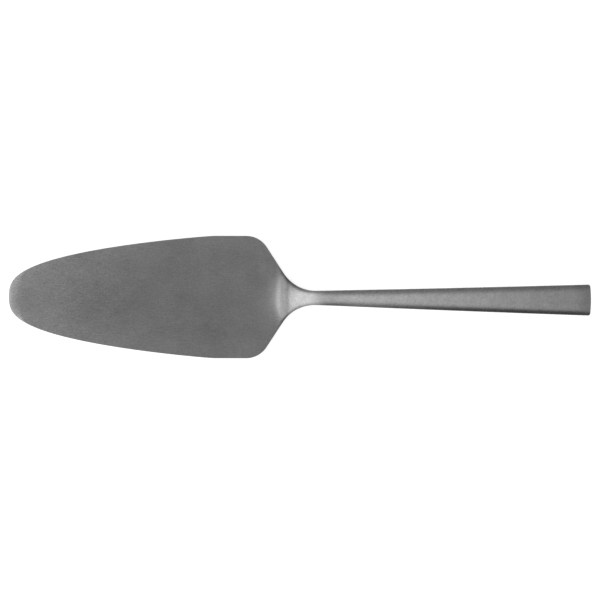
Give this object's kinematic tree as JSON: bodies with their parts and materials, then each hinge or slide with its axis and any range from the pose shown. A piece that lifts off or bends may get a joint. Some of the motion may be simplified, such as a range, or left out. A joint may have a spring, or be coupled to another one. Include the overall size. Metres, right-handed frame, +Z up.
{
  "type": "cake server",
  "caption": "Flat steel cake server: round-nosed blade, sloping shoulders, cranked stem welded to a flared, arched handle with a square end.",
  "frame": {"origin": "on the surface that the blade rests on, below the middle of the overall length and width", "axes": "+X along the server from the blade's nose to the end of the handle, +Y across it, +Z up through the blade"},
  "size_m": [0.2596, 0.0546, 0.0297],
  "materials": {
    "blade_steel": "matt, fine brushing along the length, lightly worn",
    "handle_steel": "matt, fine tumbled speckle",
    "weld_steel": "ground flush and blended into the steel on both sides"
  },
  "bodies": {
    "root": {"blade": "blade_steel", "handle": "handle_steel", "weld_seam": "weld_steel"}
  },
  "joints": []
}
